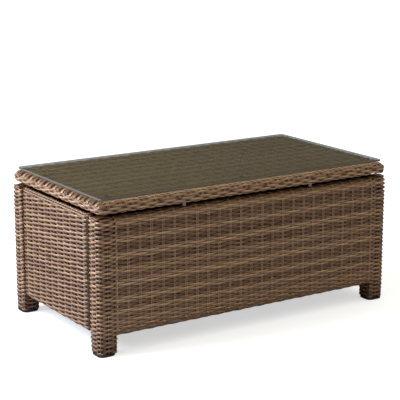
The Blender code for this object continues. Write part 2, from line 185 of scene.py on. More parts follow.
# Twined edges: at what share of a surface's height and how far out from it they lie, their tone, and the
# two strands they are twisted from
LONG_TWINES = ((0.891, 0.0), (0.908, 0.0))
LONG_TWINE_TONE = 0.35
END_TWINES = ((0.953, 0.0022), (0.969, 0.0036))
END_TWINE_TONE = 0.45
TWINE_RADIUS = 0.0017
TWINE_SPREAD = 1.3
TWINE_TURN = 0.030
TWINE_STEPS = 10
TWINE_THICKNESS = 0.0030
TWINE_FLATNESS = 1.2

# Dark strips of painted shade in the grooves beside the end panels: how deep they lie, how far inside the
# panel's lower and upper edges they end, and how far they run under their neighbours
GROOVE_DEPTH = 0.012
GROOVE_RAISE = 0.008
GROOVE_DROP = 0.012
GROOVE_OVERLAP = 0.006
GROOVE_STEPS = 40
GROOVE_SHADE = -0.35

# Long sides and end panels: how far the skin runs down behind the top rail, and how far it is rolled
RAIL_TAIL = 0.010
END_SIDE_ROLL = math.radians(100)
END_TOP_ROLL = math.radians(95)

# Lid: its rounded edge, the lower round of its border, the lip under it, and the corners seen from above
LID_ROUND = 0.018
LID_UNDER = 0.009
LID_LIP = 0.030
LID_TURN = math.radians(76)
LID_CORNER = 0.018
LID_LEAST_ROUND = 0.003
BORDER_SIDE_STEPS = 150
BORDER_CORNER_STEPS = 6
BORDER_ARC_STEPS = (6, 12)

# Teeth of the deck at the ends of the lid: how far in they reach, how softly they start, and their swing
DECK_TOOTH = 0.006
TOOTH_BLEND = 0.25
TOOTH_SWING = 0.8

# Legs: rounds of the outer corner, the corner at the long side, and the other two
LEG_OUTER_ROUND = 0.017
LEG_SEAM_ROUND = 0.004
LEG_ROUND = 0.011
LEG_ROUNDS = (LEG_OUTER_ROUND, LEG_SEAM_ROUND, LEG_ROUND, LEG_ROUND)
LEG_LEAST_ROUND = 0.002
LEG_SIDE_STEPS = 9

# Top of a leg: how much it is drawn in at the end face, how much it is raised, the hole left in its cap,
# and how directly a face looks at the middle of the table if it stays upright
LEG_END_DRAW = 0.2
LEG_RAISE = 0.002
LEG_CAP_HOLE = 0.004
LEG_UPRIGHT = 0.7

# First stake of an end panel and of a leg, as a share of a pitch, and how far up a leg its stakes run
END_OFFSET = 0.5
LEG_OFFSET = 0.5
LEG_STAKE_TOP = 0.80

# Resin colour: shares of each cause of tone, the colour at each tone, and a tint from purplish to ochre
TONE_BAND = 0.42
TONE_OWN = 0.20
TONE_PATCH = 0.40
TONE_FIBRE = 0.12
RESIN_RAMP = (
    (0.0, (0.010, 0.006, 0.004)),
    (0.22, (0.078, 0.035, 0.015)),
    (0.55, (0.190, 0.096, 0.039)),
    (1.0, (0.44, 0.270, 0.135)),
)
HUE_RAMP = ((0.38, (0.92, 0.86, 0.95)), (0.62, (1.0, 1.0, 0.88)))

# Noise of a strand: how fine along it, across it and from strand to strand, and how detailed
PATCH_NOISE = (22.0, 1.2, 3.7, 2.0)
FIBRE_NOISE = (90.0, 9.0, 5.3, 3.0)
HUE_NOISE = (9.0, 0.0, 7.9, 1.0)

# Resin surface: roughness by fibre, gloss between two tones, strength and height of the bump
RESIN_ROUGHNESS = (0.26, 0.40)
RESIN_SPECULAR = (0.05, 1.0)
SHINE_TONES = (0.10, 0.55)
FIBRE_BUMP = 0.35
FIBRE_HEIGHT = 0.0003

# Plain finishes by material slot: name, colour, roughness and metallic, with the grain they share
PLAIN_LOOKS = {
    "coated_aluminium": ("coated_tube_look", (0.030, 0.019, 0.013), 0.5, 0.0),
    "zinc_steel": ("zinc_steel_look", (0.42, 0.42, 0.43), 0.42, 1.0),
    "pale_nylon": ("pale_nylon_look", (0.30, 0.28, 0.25), 0.6, 0.0),
    "black_plastic": ("black_plastic_look", (0.008, 0.007, 0.007), 0.55, 0.0),
}
GLASS_EDGE_LOOK = ("glass_edge_look", (0.085, 0.076, 0.060), 0.5, 0.0)
GRAIN_SCALE = 600.0
GRAIN_DETAIL = 2.0
GRAIN_SHADES = (0.8, 1.2)
GRAIN_ROUGHNESS = 0.08
GRAIN_BUMP = 0.15
GRAIN_HEIGHT = 0.0002

# Clear finishes by material slot: name, tint, tint of the shadow and roughness
CLEAR_LOOKS = {
    "clear_vinyl": ("clear_vinyl_look", (0.86, 0.88, 0.86), (0.8, 0.8, 0.8), 0.10),
    "tempered_glass": ("tempered_glass_look", (0.69, 0.80, 0.80), (0.84, 0.89, 0.86), 0.02),
}
CLEAR_IOR = 1.5
GLASS_EDGE_SLOPE = 0.9

# Names and directions of the long sides and the ends
SIDES = (("front", -1), ("back", 1))
ENDS = (("left", -1), ("right", 1))

# Least length of a vector that is divided by its length
TINY = 1e-12

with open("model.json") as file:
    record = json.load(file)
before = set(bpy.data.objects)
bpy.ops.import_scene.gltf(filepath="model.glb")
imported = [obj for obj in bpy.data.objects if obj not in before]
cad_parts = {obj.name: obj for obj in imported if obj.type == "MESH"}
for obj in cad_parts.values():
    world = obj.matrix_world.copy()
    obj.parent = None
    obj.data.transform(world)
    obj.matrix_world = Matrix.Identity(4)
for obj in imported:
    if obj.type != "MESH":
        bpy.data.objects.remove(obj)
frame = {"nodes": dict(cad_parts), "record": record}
cad_low, cad_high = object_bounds()
NODES = frame["nodes"]
random = np.random.default_rng(7)


def corners(node):
    """Lowest and highest corner of a CAD node as arrays."""
    low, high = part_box(node)
    return np.array(low), np.array(high)


# Curves and surfaces that the strands follow


class Track:
    """A flat curve with its outward normals, read by the distance along it."""

    def __init__(self, *pieces):
        self.points = np.array([point for points, _ in pieces for point in points], float)
        self.angles = np.array([angle for _, angles in pieces for angle in angles], float)
        steps = np.hypot(*np.diff(self.points, axis=0).T)
        self.places = np.concatenate([[0.0], np.cumsum(steps)])
        self.length = self.places[-1]

    def at(self, place):
        """Outward place, height and normal angle at a distance along the curve."""
        outward = np.interp(place, self.places, self.points[:, 0])
        upward = np.interp(place, self.places, self.points[:, 1])
        return outward, upward, np.interp(place, self.places, self.angles)


def arc_points(centre, radius, start, end, steps=24):
    """Points and normal angles of an arc; angle 0 points out and 90 degrees points up."""
    angles = np.linspace(start, end, steps + 1)
    points = [(centre[0] + radius * math.cos(a), centre[1] + radius * math.sin(a)) for a in angles]
    return points, list(angles)


class Surface:
    """A woven surface. place(along, level) gives points and outward directions; rows run along it."""

    def __init__(self, place, length, height, closed=False):
        self.place = place
        self.length = length
        self.height = height
        self.closed = closed


def unit(vectors):
    """Vectors scaled to length 1."""
    return vectors / np.maximum(np.linalg.norm(vectors, axis=-1, keepdims=True), TINY)


def long_surface(side_name, side):
    """A long side: up behind the top rail, over it, down the face and round the low rail."""
    low, high = corners(side_name + "_weave")
    top_low, top_high = corners(side_name + "_top_rail")
    rail_low, rail_high = corners(side_name + "_bottom_rail")
    top_centre = (abs(top_low[1] + top_high[1]) / 2, (top_low[2] + top_high[2]) / 2)
    low_centre = (abs(rail_low[1] + rail_high[1]) / 2, (rail_low[2] + rail_high[2]) / 2)
    top_radius = high[2] - top_centre[1]
    low_radius = low_centre[1] - low[2]
    tail = ([(top_centre[0] - top_radius, top_centre[1] - RAIL_TAIL)], [math.pi])
    over = arc_points(top_centre, top_radius, math.pi, 0.0)
    under = arc_points(low_centre, low_radius, 0.0, -math.pi)
    track = Track(tail, over, under)

    def place(along, level):
        outward, upward, angle = track.at(level)
        x, outward, upward, angle = np.broadcast_arrays(low[0] + along, outward, upward, angle)
        points = np.stack([x, side * outward, upward], -1)
        return points, np.stack([np.zeros_like(x), side * np.cos(angle), np.sin(angle)], -1)

    return Surface(place, high[0] - low[0], track.length)


def rolled(half, radius, tail):
    """One axis of a panel with rolled edges: its full length, and a function that reads it.

    At a distance along the axis, the function gives the place on the flat part, or the centre of the
    roll, and the roll angle.
    """
    flat = half - radius
    roll = radius * tail

    def read(distance):
        centre = np.clip(distance - roll, 0, 2 * flat) - flat
        before = np.minimum(distance - roll, 0)
        after = np.maximum(distance - roll - 2 * flat, 0)
        return centre, before / radius + after / radius

    return 2 * (flat + roll), read


def end_surface(end_name, end):
    """An end panel: rows along Y, rolled round the panel's frame on all four sides."""
    low, high = corners(end_name + "_end_weave")
    rail_low, rail_high = corners(end_name + "_end_top_rail")
    radius = high[2] - (rail_low[2] + rail_high[2]) / 2
    core = max(abs(low[0]), abs(high[0])) - radius
    middle = (high + low) / 2
    length, read_y = rolled((high[1] - low[1]) / 2, radius, END_SIDE_ROLL)
    height, read_z = rolled((high[2] - low[2]) / 2, radius, END_TOP_ROLL)

    def place(along, level):
        y, side_turn = read_y(np.asarray(along, float))
        z, turn = read_z(np.asarray(level, float))
        y, side_turn, z, turn = np.broadcast_arrays(y, side_turn, z, turn)
        outward = end * np.cos(turn) * np.cos(side_turn)
        sideways = np.cos(turn) * np.sin(side_turn)
        out = np.stack([outward, sideways, np.sin(turn)], -1)
        return np.stack([np.full_like(y, end * core), y, middle[2] + z], -1) + out * radius, out

    return Surface(place, length, height)


def deck_surface():
    """The lid's woven top: rows along X, over the rounded edges."""
    low, high = corners("lid_weave")
    half = (high - low) / 2
    length, read_x = rolled(half[0], LID_ROUND, LID_TURN)
    height, read_y = rolled(half[1], LID_ROUND, LID_TURN)

    def place(along, level):
        x, end_turn = read_x(np.asarray(along, float))
        y, turn = read_y(np.asarray(level, float))
        x, end_turn, y, turn = np.broadcast_arrays(x, end_turn, y, turn)
        sideways = np.cos(end_turn) * np.sin(turn)
        upward = np.cos(end_turn) * np.cos(turn)
        out = np.stack([np.sin(end_turn), sideways, upward], -1)
        return np.stack([x, y, np.full_like(x, high[2] - LID_ROUND)], -1) + out * LID_ROUND, out

    return Surface(place, length, height)


def outline(low, high, radii, per_side, per_corner=4):
    """Points and outward normals of a rounded rectangle, anticlockwise, the same count for any size."""
    turns = ((-1, -1), (1, -1), (1, 1), (-1, 1))
    picks = ((low[0], low[1]), (high[0], low[1]), (high[0], high[1]), (low[0], high[1]))
    centres = [
        (pick[0] - turn[0] * radius, pick[1] - turn[1] * radius)
        for pick, turn, radius in zip(picks, turns, radii)
    ]
    points = []
    normals = []
    for k, (centre, radius) in enumerate(zip(centres, radii)):
        for step in range(per_corner + 1):
            angle = (k + 2 + step / per_corner) * math.pi / 2
            normal = np.array([math.cos(angle), math.sin(angle)])
            points.append(centre + radius * normal)
            normals.append(normal)
        following = centres[(k + 1) % 4] + radii[(k + 1) % 4] * normal
        begin = points[-1]
        for step in range(1, per_side):
            points.append(begin + (following - begin) * step / per_side)
            normals.append(normal)
    return np.array(points), np.array(normals)


def ring_surface(shape_at, height):
    """A closed surface of rings. shape_at(level) gives a ring's points and outward directions."""
    first = shape_at(0.0)[0]
    steps = np.linalg.norm(np.diff(np.vstack([first, first[:1]]), axis=0), axis=1)
    places = np.concatenate([[0.0], np.cumsum(steps)])

    def read(along, level):
        values = [np.vstack([ring, ring[:1]]) for ring in shape_at(level)]
        return [
            np.stack([np.interp(along, places, column) for column in value.T], -1)
            for value in values
        ]

    def place(along, level):
        if np.ndim(level) == 0:
            points, out = read(along, level)
        else:
            pairs = [read(along, one) for one in level]
            points = np.array([pair[0] for pair in pairs])
            out = np.array([pair[1] for pair in pairs])
        return points, unit(out)

    return Surface(place, places[-1], height, closed=True)


def leg_surface(side_name, side, end_name, end):
    """A leg: rings up its four faces, drawn in over its rounded top towards the middle of the table.

    The rings are drawn for the front left leg and mirrored for the others.
    """
    low, high = corners(f"{side_name}_{end_name}_leg_weave")
    rail_low, rail_high = corners(side_name + "_top_rail")
    centre = (low + high) / 2
    half = (high - low) / 2
    radius = high[2] - (rail_low[2] + rail_high[2]) / 2
    straight = high[2] - radius - low[2]
    crown = math.pi / 2 * radius
    cap = half[0] - LEG_CAP_HOLE
    mirror = np.array([-end, -side, 1.0])

    def shape_at(level):
        angle = float(np.clip((level - straight) / radius, 0.0, math.pi / 2))
        inset = radius * (1 - math.cos(angle)) + max(level - straight - crown, 0.0)
        inset = min(inset, half[1] - LEG_CAP_HOLE)
        radii = [max(one - inset, LEG_LEAST_ROUND) for one in LEG_ROUNDS]
        points, normals = outline(
            (inset * LEG_END_DRAW - half[0], inset - half[1]),
            (half[0], half[1] - inset),
            radii,
            LEG_SIDE_STEPS,
        )
        tilt = np.where(normals[:, 0] > LEG_UPRIGHT, 1.0, math.cos(angle))
        rise = np.sqrt(np.maximum(0.0, 1 - tilt**2))
        out = np.stack([normals[:, 0] * tilt, normals[:, 1] * tilt, rise], -1) * mirror
        up = low[2] + min(level, straight) + (radius + LEG_RAISE) * math.sin(angle)
        body = np.stack([points[:, 0], points[:, 1], np.full(len(points), up)], -1) * mirror
        return body + [centre[0], centre[1], 0.0], out

    return ring_surface(shape_at, straight + crown + cap)


def border_surface():
    """The lid's border: rings round its side, under its edge and in over its lip."""
    low, high = corners("lid_weave")
    half = (high - low) / 2
    start = math.pi / 2 - LID_TURN
    side_steps, below_steps = BORDER_ARC_STEPS
    side = arc_points((-LID_ROUND, high[2] - LID_ROUND), LID_ROUND, start, 0.0, side_steps)
    below = arc_points((-LID_UNDER, low[2] + LID_UNDER), LID_UNDER, 0.0, -math.pi / 2, below_steps)
    track = Track(side, below, ([(-LID_LIP, low[2])], [-math.pi / 2]))

    def shape_at(level):
        outward, up, angle = track.at(level)
        reach = half[:2] + outward
        radii = [max(LID_CORNER + outward, LID_LEAST_ROUND)] * 4
        points, normals = outline(-reach, reach, radii, BORDER_SIDE_STEPS, BORDER_CORNER_STEPS)
        out = np.stack([normals[:, 0] * math.cos(angle), normals[:, 1] * math.cos(angle)], -1)
        out = np.column_stack([out, np.full(len(points), math.sin(angle))])
        return np.column_stack([points, np.full(len(points), up)]), out

    return ring_surface(shape_at, track.length)


# Strands


class Weave:
    """Collects strands and makes one mesh of them."""

    def __init__(self):
        self.verts = []
        self.faces = []
        self.data = []
        self.count = 0
        self.strands = 0

    def strand(
        self, points, out, tone,
        section=HALF_ROUND, width=STRAND_WIDTH, thick=STRAND_THICKNESS, closed=False,
    ):
        """Adds one strand: a closed tube round a line of points with their outward directions."""
        tangent = np.gradient(points, axis=0)
        if closed:
            tangent = np.roll(points, -1, axis=0) - np.roll(points, 1, axis=0)
        tangent = unit(tangent)
        across = unit(np.cross(tangent, out))
        section = np.array(section)
        sides = len(section)
        rings = points[:, None, :] + across[:, None, :] * (section[:, 0] * width)[None, :, None]
        outward = unit(np.cross(across, tangent))
        rings = rings + outward[:, None, :] * (section[:, 1] * thick)[None, :, None]
        length = len(points)
        index = self.count + np.arange(length * sides).reshape(length, sides)
        following = np.roll(index, -1, axis=1)
        next_ring = (np.roll(following, -1, axis=0), np.roll(index, -1, axis=0))
        quads = np.stack([index, following, *next_ring], axis=-1)
        if not closed:
            quads = quads[:-1]
            self.faces.append(index[0][::-1].tolist())
            self.faces.append(index[-1].tolist())
        self.faces.extend(quads.reshape(-1, 4).tolist())
        self.verts.append(rings.reshape(-1, 3))
        steps = np.linalg.norm(np.diff(points, axis=0), axis=1)
        info = np.empty((length, sides, 4))
        info[..., 0] = np.concatenate([[0.0], np.cumsum(steps)])[:, None]
        info[..., 1] = section[:, 0][None, :]
        info[..., 2] = self.strands
        info[..., 3] = np.broadcast_to(tone, length)[:, None]
        self.data.append(info.reshape(-1, 4))
        self.count += length * sides
        self.strands += 1

    def finish(self, name, material, *nodes):
        """Makes the piece, which rides on the table and stands for CAD nodes."""
        mesh = bpy.data.meshes.new(name)
        mesh.from_pydata(np.concatenate(self.verts).tolist(), [], self.faces)
        data = np.concatenate(self.data)
        strand = mesh.attributes.new("strand", "FLOAT_VECTOR", "POINT")
        strand.data.foreach_set("vector", np.ascontiguousarray(data[:, :3]).ravel())
        tone = mesh.attributes.new("tone", "FLOAT", "POINT")
        tone.data.foreach_set("value", np.ascontiguousarray(data[:, 3]))
        mesh.materials.append(material)
        mesh.shade_smooth()
        piece = bpy.data.objects.new(name, mesh)
        bpy.context.scene.collection.objects.link(piece)
        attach(piece, "root")
        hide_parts(*nodes)


def over_under(turns, row):
    """Swing of a row over one stake and under the next: +1 over, -1 under, one stake per turn."""
    turn = np.cos(math.pi * (turns + row % 2))
    return turn * (1 + SWING_FLATNESS - SWING_FLATNESS * turn * turn)


class Pattern:
    """How a surface is woven.

    stakes: how many stake pitches a row has
    offset: share of a pitch before the first stake
    wave: how far the rows swing in and out
    steps: places along one pitch where a row has a ring of points
    tone_at(point): tone of the row through that point
    dip_tone, edge_tone: how much darker a row is behind a stake, which is painted shade, and at its two
    ends, which on the end panels is painted shade in the grooves
    calm: 1 if the lowest and highest rows swing less and are darker, else 0
    swing(turns, row): where a row is between -1 (under) and +1 (over)
    """

    def __init__(
        self, stakes, offset, wave, steps, tone_at, dip_tone, edge_tone=0.0, calm=1.0, swing=over_under
    ):
        self.stakes = stakes
        self.offset = offset
        self.middle = PROUD - STRAND_THICKNESS / 2 - wave
        self.wave = wave
        self.steps = steps
        self.tone_at = tone_at
        self.dip_tone = dip_tone
        self.edge_tone = edge_tone
        self.calm = calm
        self.swing = swing


def row_turns(surface, pattern):
    """Places along a row where it has a ring of points, in stake pitches."""
    first = pattern.offset % 1
    turns = (np.arange(pattern.stakes)[:, None] + np.array(pattern.steps)[None, :]).ravel() + first
    if surface.closed:
        return turns
    turns = np.append(turns, pattern.stakes + first)
    turns = np.unique(np.clip(turns, 0, pattern.stakes))
    if turns[0] > 0:
        turns = np.append(0.0, turns)
    return turns


def stake_nearness(along, pitch, offset):
    """How near each place along a row is to one of a pair of stakes: 1 on it, 0 away from it."""
    centre = along - offset * pitch
    nearest = centre - np.round(centre / pitch) * pitch
    return sum(np.exp(-(((nearest - twin * STAKE_GAP / 2) / RIDGE_REACH) ** 2)) for twin in (-1, 1))


def add_rows(weave, surface, pattern):
    """Rows over and under the stakes, with a dark flat row behind each, painted shade that closes the
    holes.
    """
    pitch = surface.length / pattern.stakes
    turns = row_turns(surface, pattern)
    along = turns * pitch
    behind = along.copy()
    if not surface.closed:
        behind[[0, -1]] += (-BACKING_REACH, BACKING_REACH)
    on_stakes = stake_nearness(along, pitch, pattern.offset)
    at_ends = np.clip(1 - np.minimum(along, surface.length - along) / EDGE_REACH, 0, 1)
    rows = int(round(surface.height / ROW_PITCH))
    for row in range(rows):
        level = (row + 0.5) / rows * surface.height
        points, out = surface.place(along, level)
        swung = pattern.swing(turns - pattern.offset, row)
        ridge = np.maximum(swung, 0) * on_stakes
        size = 1 + SWING_SPREAD * random.standard_normal()
        from_edge = min(level, surface.height - level)
        calm = pattern.calm * np.clip(CALM_PEAK - from_edge / CALM_REACH, 0.0, 1.0)
        size = size * (1 - CALM_SHARE * calm)
        height = pattern.middle + pattern.wave * np.clip(size * swung, *SWING_LIMITS)
        height = height + RIDGE_HEIGHT * ridge
        # Painted highlight: a row is lighter on its crest over a stake
        tone = pattern.tone_at(points[len(points) // 2]) - CALM_TONE * calm + RIDGE_HIGHLIGHT * ridge
        # Painted shade: a row is darker where it dips behind a stake
        tone = tone - pattern.dip_tone * np.maximum(-swung, 0) ** 2
        # Darker at the row's two ends; on the end panels this is painted shade in the grooves
        tone = tone - pattern.edge_tone * at_ends
        drift = WANDER * random.standard_normal()
        tangent = unit(np.gradient(points, axis=0))
        body = points + out * height[:, None] + np.cross(tangent, out) * drift
        weave.strand(body, out, tone, closed=surface.closed)
        # Painted shade: a dark flat row behind, which stands for the shaded inside seen through the holes
        depth = pattern.middle - pattern.wave - STRAND_THICKNESS / 2 + BACKING_STEP * (row % 2)
        points, out = surface.place(behind, level)
        body = points + out * depth
        weave.strand(body, out, BACKING_SHADE, FLAT, BACKING_WIDTH, BACKING_THICKNESS, surface.closed)


def add_stakes(weave, surface, pattern, tone, highest=1.0, twins=(-1, 1)):
    """Thin stakes, one or a pair to each place, that the rows pass over and under."""
    pitch = surface.length / pattern.stakes
    levels = np.linspace(0.0, highest, int(surface.height / STAKE_STEP) + 1) * surface.height
    count = pattern.stakes
    if pattern.offset == 0 and not surface.closed:
        count += 1
    for stake in range(count):
        for twin in twins:
            along = (stake + pattern.offset) * pitch + twin * STAKE_GAP / 2
            if not surface.closed:
                along = float(np.clip(along, 0.0, surface.length))
            points, out = surface.place(along, levels)
            weave.strand(points + out * pattern.middle, out, tone, ROUND, STAKE_WIDTH, STAKE_WIDTH)


def add_twine(weave, surface, level, tone, lift):
    """Two strands twisted round each other along a surface."""
    steps = int(surface.length / TWINE_TURN * TWINE_STEPS)
    along = np.linspace(0.0, surface.length, steps + 1)
    points, out = surface.place(along, level)
    side = np.cross(unit(np.gradient(points, axis=0)), out)
    for start in (0.0, math.pi):
        angle = along / TWINE_TURN * 2 * math.pi + start
        sideways = side * (np.sin(angle) * TWINE_RADIUS * TWINE_SPREAD)[:, None]
        shift = sideways + out * (np.cos(angle) * TWINE_RADIUS)[:, None]
        body = points + shift + out * (PROUD + lift - TWINE_THICKNESS / 2)
        weave.strand(body, out, tone, ROUND, TWINE_THICKNESS * TWINE_FLATNESS, TWINE_THICKNESS)


# Tones of the rows


def band_at(point):
    """How light the strands are at a height: 1 in a light band, 0 between bands."""
    nearest = min(abs(point[2] - level) for level in LIGHT_BANDS)
    return float(np.clip(BAND_PEAK - nearest / BAND_HALF, 0.0, 1.0))


def end_tone(point):
    """The end panels show their light bands more faintly."""
    return END_BAND_BASE + END_BAND_SHARE * band_at(point)


def leg_tone(point):
    """The legs lie between the long sides and the end panels in tone."""
    return LEG_BAND_BASE + LEG_BAND_SHARE * band_at(point)


def deck_tone(point):
    """The deck has light and dark bands across its depth."""
    return DECK_TONE + DECK_BAND * math.cos(2 * math.pi * point[1] / DECK_BAND_PITCH)


def border_tone(point):
    """The lid's border has the same tone all round."""
    return BORDER_TONE


# Pieces


def build_long_side(side_name, side, material):
    """The woven skin of a long side, with a twined edge near its lower end."""
    surface = long_surface(side_name, side)
    stakes = int(round(surface.length / LONG_STAKE_PITCH))
    pattern = Pattern(stakes, 0, LONG_WAVE, FINE_STEPS, band_at, LONG_DIP_SHADE)
    weave = Weave()
    add_rows(weave, surface, pattern)
    add_stakes(weave, surface, pattern, LONG_STAKE_TONE)
    for share, lift in LONG_TWINES:
        add_twine(weave, surface, share * surface.height, LONG_TWINE_TONE, lift)
    weave.finish(side_name + "_woven_side", material, side_name + "_weave")


def add_groove_shade_strips(weave, end_name, end):
    """Flat dark strips of painted shade that close the grooves between an end panel and its two legs."""
    low, high = corners(end_name + "_end_weave")
    heights = np.linspace(low[2] + GROOVE_RAISE, high[2] - GROOVE_DROP, GROOVE_STEPS)
    depth = end * (max(abs(low[0]), abs(high[0])) - GROOVE_DEPTH)
    out = np.tile([float(end), 0.0, 0.0], (GROOVE_STEPS, 1))
    for side_name, side in SIDES:
        leg_low, leg_high = corners(f"{side_name}_{end_name}_leg_weave")
        edge, face = (high[1], leg_low[1]) if side > 0 else (low[1], leg_high[1])
        middle = (edge + face) / 2
        points = np.stack([np.full_like(heights, depth), np.full_like(heights, middle), heights], -1)
        width = abs(face - edge) + 2 * GROOVE_OVERLAP
        # Painted shade: a flat dark strip deep in the groove
        weave.strand(points, out, GROOVE_SHADE, FLAT, width, BACKING_THICKNESS)


def build_end(end_name, end, material):
    """The woven skin of an end panel, its twined top edge, and the dark strips of painted shade in the
    grooves beside it.
    """
    surface = end_surface(end_name, end)
    stakes = int(round(surface.length / END_STAKE_PITCH))
    pattern = Pattern(stakes, END_OFFSET, END_WAVE, COARSE_STEPS, end_tone, END_DIP_SHADE, END_GROOVE_SHADE)
    weave = Weave()
    add_rows(weave, surface, pattern)
    add_stakes(weave, surface, pattern, END_STAKE_TONE)
    for share, lift in END_TWINES:
        add_twine(weave, surface, share * surface.height, END_TWINE_TONE, lift)
    add_groove_shade_strips(weave, end_name, end)
    weave.finish(end_name + "_woven_end", material, end_name + "_end_weave")


def build_leg(side_name, side, end_name, end, material):
    """The woven wrap of a leg, on single stakes."""
    name = f"{side_name}_{end_name}_leg"
    surface = leg_surface(side_name, side, end_name, end)
    pattern = Pattern(LEG_STAKES, LEG_OFFSET, LEG_WAVE, COARSE_STEPS, leg_tone, LEG_DIP_SHADE)
    weave = Weave()
    add_rows(weave, surface, pattern)
    add_stakes(weave, surface, pattern, END_STAKE_TONE, LEG_STAKE_TOP, (0,))
    weave.finish(name + "_woven_wrap", material, name + "_weave")


def build_lid_deck(material):
    """The woven deck: rows over the rounded edges, which stand out in pairs at the ends of the lid."""
    surface = deck_surface()
    stakes = int(round(surface.length / LONG_STAKE_PITCH))
    edge = (LID_ROUND * LID_TURN + DECK_TOOTH) / (surface.length / stakes)

    def toothed(turns, row):
        from_end = np.minimum(turns, stakes - turns)
        share = np.clip((edge - from_end) / TOOTH_BLEND, 0.0, 1.0)
        tooth = TOOTH_SWING if row % 4 < 2 else -TOOTH_SWING
        return over_under(turns, row) * (1 - share) + tooth * share

    pattern = Pattern(
        stakes, 0, DECK_WAVE, COARSE_STEPS, deck_tone, DECK_DIP_SHADE,
        edge_tone=DECK_EDGE_TONE, calm=0.0, swing=toothed,
    )
    weave = Weave()
    add_rows(weave, surface, pattern)
    add_stakes(weave, surface, pattern, LONG_STAKE_TONE)
    weave.finish("woven_lid_deck", material, "lid_weave")


def build_lid_border(material):
    """The woven border of the lid, whose stakes don't show."""
    surface = border_surface()
    stakes = int(round(surface.length / BORDER_STAKE_PITCH / 2)) * 2
    pattern = Pattern(stakes, 0, BORDER_WAVE, COARSE_STEPS, border_tone, BORDER_DIP_SHADE, calm=0.0)
    weave = Weave()
    add_rows(weave, surface, pattern)
    weave.finish("woven_lid_border", material, "lid_weave")


# Materials


def new_material(name):
    """An empty material with a Principled shader: its node tree and the shader."""
    made = bpy.data.materials.new(name)
    made.use_nodes = True
    return made, made.node_tree, made.node_tree.nodes["Principled BSDF"]


def node(tree, kind, **values):
    """A node with some of its settings."""
    made = tree.nodes.new(kind)
    for key, value in values.items():
        setattr(made, key, value)
    return made


def scaled(tree, output, factor, base=None):
    """A value times a factor, plus another value."""
    made = node(tree, "ShaderNodeMath", operation="MULTIPLY_ADD")
    made.inputs[1].default_value = factor
    made.inputs[2].default_value = 0.0
    tree.links.new(output, made.inputs[0])
    if base is not None:
        tree.links.new(base, made.inputs[2])
    return made.outputs[0]


def ramp_of(tree, output, stops):
    """A colour ramp with the given (position, colour) stops, read by a value."""
    made = node(tree, "ShaderNodeValToRGB")
    elements = made.color_ramp.elements
    for element, (position, colour) in ((elements[0], stops[0]), (elements[1], stops[-1])):
        element.position = position
        element.color = (*colour, 1)
    for position, colour in stops[1:-1]:
        elements.new(position).color = (*colour, 1)
    tree.links.new(output, made.inputs["Fac"])
    return made.outputs["Color"]


def ranged(tree, output, low, high, start=0.0, end=1.0):
    """A value that runs from low to high while another runs from start to end."""
    made = node(tree, "ShaderNodeMapRange")
    for socket, value in (("From Min", start), ("From Max", end), ("To Min", low), ("To Max", high)):
        made.inputs[socket].default_value = value
    tree.links.new(output, made.inputs["Value"])
    return made.outputs["Result"]


def bumped(tree, output, strength, height):
    """A surface normal with a bump."""
    made = node(tree, "ShaderNodeBump")
    made.inputs["Strength"].default_value = strength
    made.inputs["Distance"].default_value = height
    tree.links.new(output, made.inputs["Height"])
    return made.outputs["Normal"]


def strand_noise(tree, parts, along, across, number, detail):
    """Noise stretched along a strand, different on each strand."""
    place = node(tree, "ShaderNodeCombineXYZ")
    for axis, factor in (("X", along), ("Y", across), ("Z", number)):
        tree.links.new(scaled(tree, parts.outputs[axis], factor), place.inputs[axis])
    noise = node(tree, "ShaderNodeTexNoise")
    noise.inputs["Scale"].default_value = 1.0
    noise.inputs["Detail"].default_value = detail
    tree.links.new(place.outputs[0], noise.inputs["Vector"])
    return noise.outputs["Fac"]


def woven_resin():
    """Resin strands from dark brown to light tan, with lengthwise streaks; light ones are glossier."""
    made, tree, shader = new_material("woven_resin_look")
    link = tree.links.new
    strand = node(tree, "ShaderNodeAttribute", attribute_name="strand")
    tone = node(tree, "ShaderNodeAttribute", attribute_name="tone")
    parts = node(tree, "ShaderNodeSeparateXYZ")
    link(strand.outputs["Vector"], parts.inputs[0])
    own = node(tree, "ShaderNodeTexWhiteNoise", noise_dimensions="1D")
    link(parts.outputs["Z"], own.inputs["W"])
    patches = strand_noise(tree, parts, *PATCH_NOISE)
    fibres = strand_noise(tree, parts, *FIBRE_NOISE)
    hue = strand_noise(tree, parts, *HUE_NOISE)
    mixed = scaled(tree, tone.outputs["Fac"], TONE_BAND)
    mixed = scaled(tree, own.outputs["Value"], TONE_OWN, mixed)
    mixed = scaled(tree, patches, TONE_PATCH, mixed)
    mixed = scaled(tree, fibres, TONE_FIBRE, mixed)
    tinted = node(tree, "ShaderNodeMix", data_type="RGBA", blend_type="MULTIPLY")
    tinted.inputs["Factor"].default_value = 1.0
    link(ramp_of(tree, mixed, RESIN_RAMP), tinted.inputs["A"])
    link(ramp_of(tree, hue, HUE_RAMP), tinted.inputs["B"])
    link(tinted.outputs["Result"], shader.inputs["Base Color"])
    link(ranged(tree, fibres, *RESIN_ROUGHNESS), shader.inputs["Roughness"])
    link(bumped(tree, fibres, FIBRE_BUMP, FIBRE_HEIGHT), shader.inputs["Normal"])
    link(ranged(tree, mixed, *RESIN_SPECULAR, *SHINE_TONES), shader.inputs["Specular IOR Level"])
    return made


